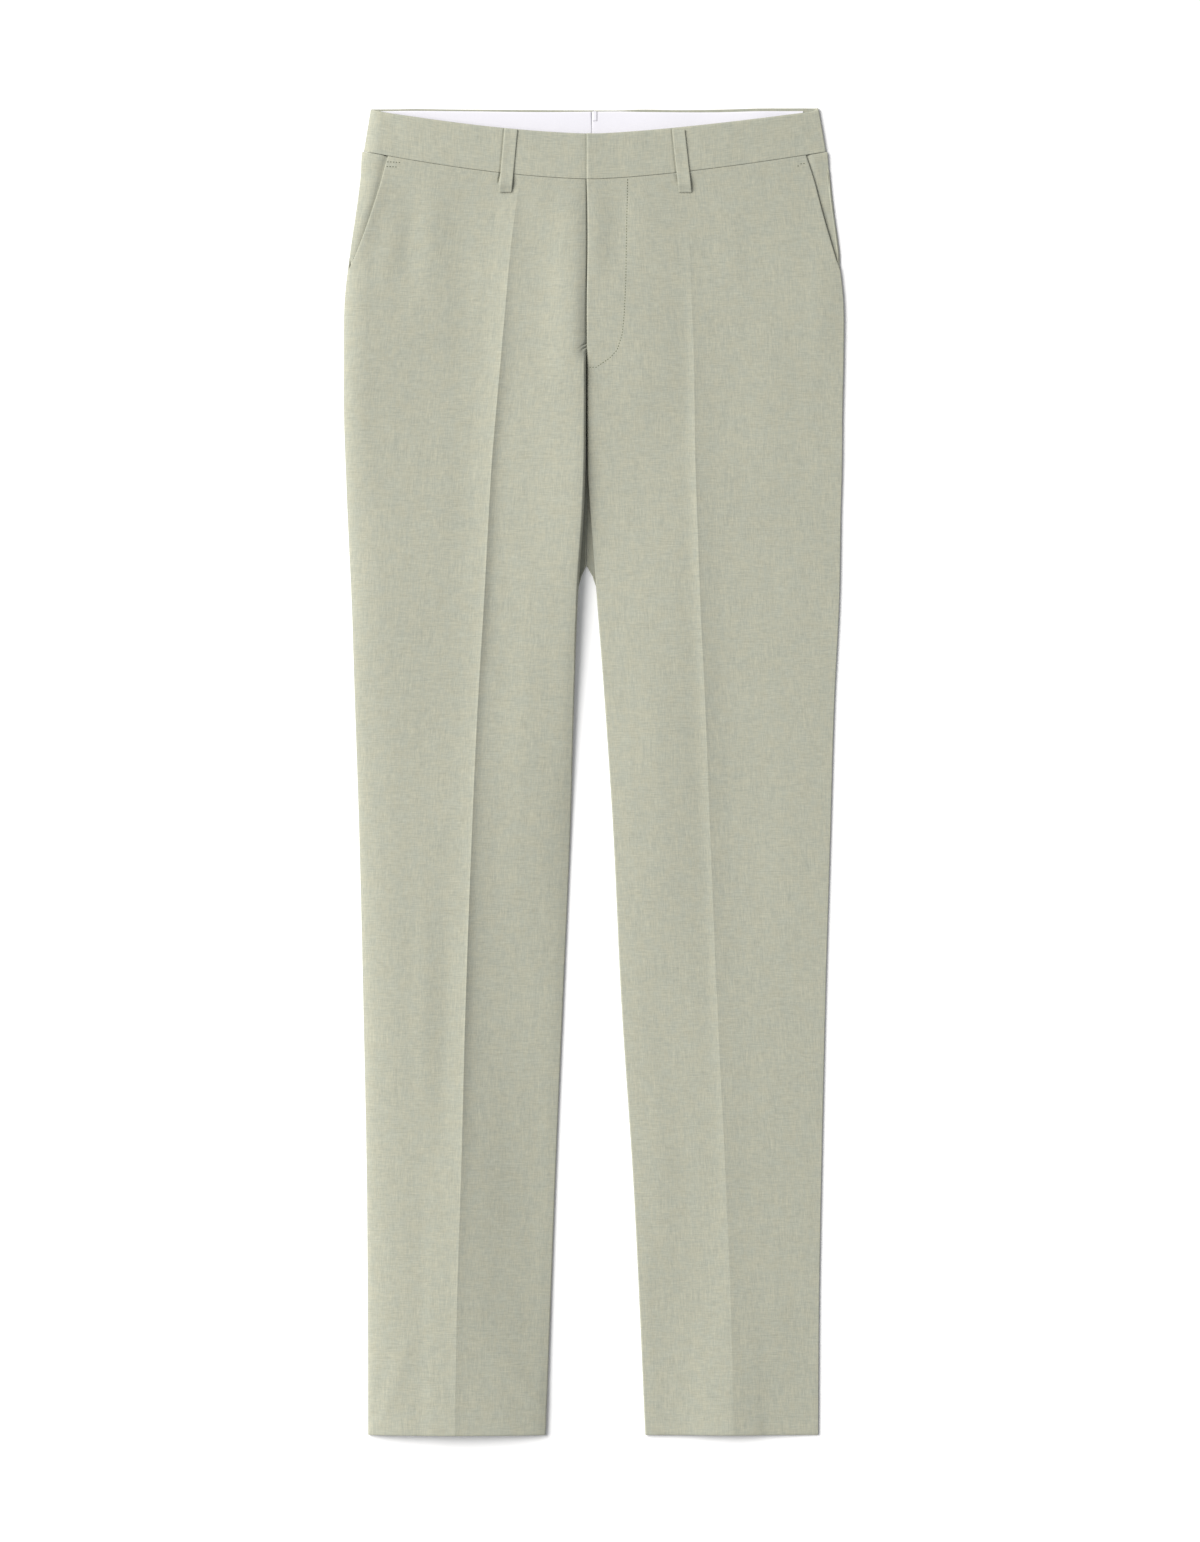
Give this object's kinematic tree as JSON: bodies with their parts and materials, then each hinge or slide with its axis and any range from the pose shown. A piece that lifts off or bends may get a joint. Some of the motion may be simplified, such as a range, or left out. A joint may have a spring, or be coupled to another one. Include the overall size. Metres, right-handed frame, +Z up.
{
  "type": "suit trousers",
  "caption": "Flat-front suit trousers laid out flat, front up, closed at the waist, with pressed creases, slanted side pockets, belt loops and a zip fly.",
  "frame": {"origin": "on the surface the garment lies on, under the middle of its outline", "axes": "+X to the wearer's left, +Y from the hems to the waist, +Z up, out of the front of the garment"},
  "size_m": [0.4336, 1.154, 0.0198],
  "materials": {
    "suiting": "plain-woven linen blend, pale grey-green, matt",
    "waist_lining": "white woven lining, smooth, slightly cool",
    "pocketing": "off-white cotton pocketing, matt",
    "zip_tape": "woven tape dyed to the cloth",
    "hook_metal": "satin nickel"
  },
  "bodies": {
    "root": {"front_right": "suiting", "front_left": "suiting", "back_right": "suiting", "back_left": "suiting", "waistband_right": "suiting", "waistband_left": "suiting", "waist_lining_right": "waist_lining", "waist_lining_left": "waist_lining", "pocket_facing_right": "suiting", "pocket_facing_left": "suiting", "pocket_bag_right": "pocketing", "pocket_bag_left": "pocketing", "fly_shield": "suiting", "fly_zip": "zip_tape", "waist_hook": "hook_metal", "waist_bar": "hook_metal", "belt_loop_front_right": "suiting", "belt_loop_front_left": "suiting", "belt_loop_back_right": "suiting", "belt_loop_back_left": "suiting", "belt_loop_back_center": "suiting"}
  },
  "joints": []
}
